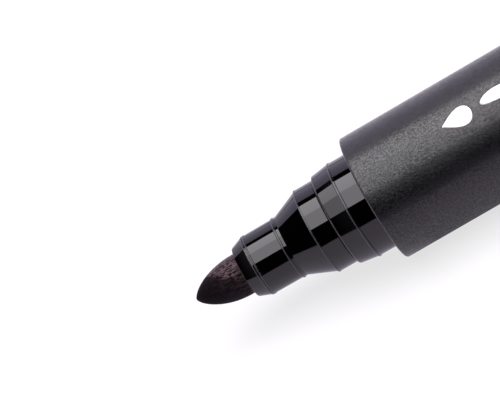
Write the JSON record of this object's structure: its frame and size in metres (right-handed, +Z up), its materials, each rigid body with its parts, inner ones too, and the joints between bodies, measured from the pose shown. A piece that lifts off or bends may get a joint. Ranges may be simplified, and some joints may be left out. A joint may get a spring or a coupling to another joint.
{
  "type": "brush pen",
  "caption": "Marker-type brush pen with a firm fibre nib, stepped gloss nose, matte round barrel and a clip cap pushed onto its tail, lying on its side.",
  "frame": {"origin": "centre of the bottom of the bounding box, on the table that the pen lies on", "axes": "+X along the pen's axis from the nib to the cap's closed end, +Z up; the clip is on the -Y side and rests on the table"},
  "size_m": [0.152, 0.0178, 0.016],
  "materials": {
    "nib_fibre": "ink-soaked bonded fibre, streaked along its length",
    "gloss_black": "polished black plastic",
    "barrel_plastic": "fine spark-textured charcoal plastic",
    "reservoir_fibre": "ink-soaked bonded fibre",
    "clear_film": "thin clear film",
    "liner_plastic": "natural, slightly milky plastic",
    "print_white": "white pad-printed ink"
  },
  "bodies": {
    "pen": {"nib": "nib_fibre", "nib_holder": "gloss_black", "section_collar": "gloss_black", "barrel": "barrel_plastic", "ink_reservoir": "reservoir_fibre", "reservoir_film": "clear_film", "end_plug": "gloss_black"},
    "liner": {"cap_liner": "liner_plastic"},
    "cap": {"cap_shell": "barrel_plastic", "cap_top": "gloss_black"}
  },
  "joints": [
    {"name": "cap_slide", "type": "slide", "parent": "pen", "child": "liner", "axis": [1, 0, 0], "range_m": [0, 0.03]},
    {"name": "cap_turn", "type": "hinge", "parent": "liner", "child": "cap", "pos_m": [0.055, 0.00095, 0.008], "axis": [-1, 0, 0], "range_deg": [0, 251]}
  ]
}
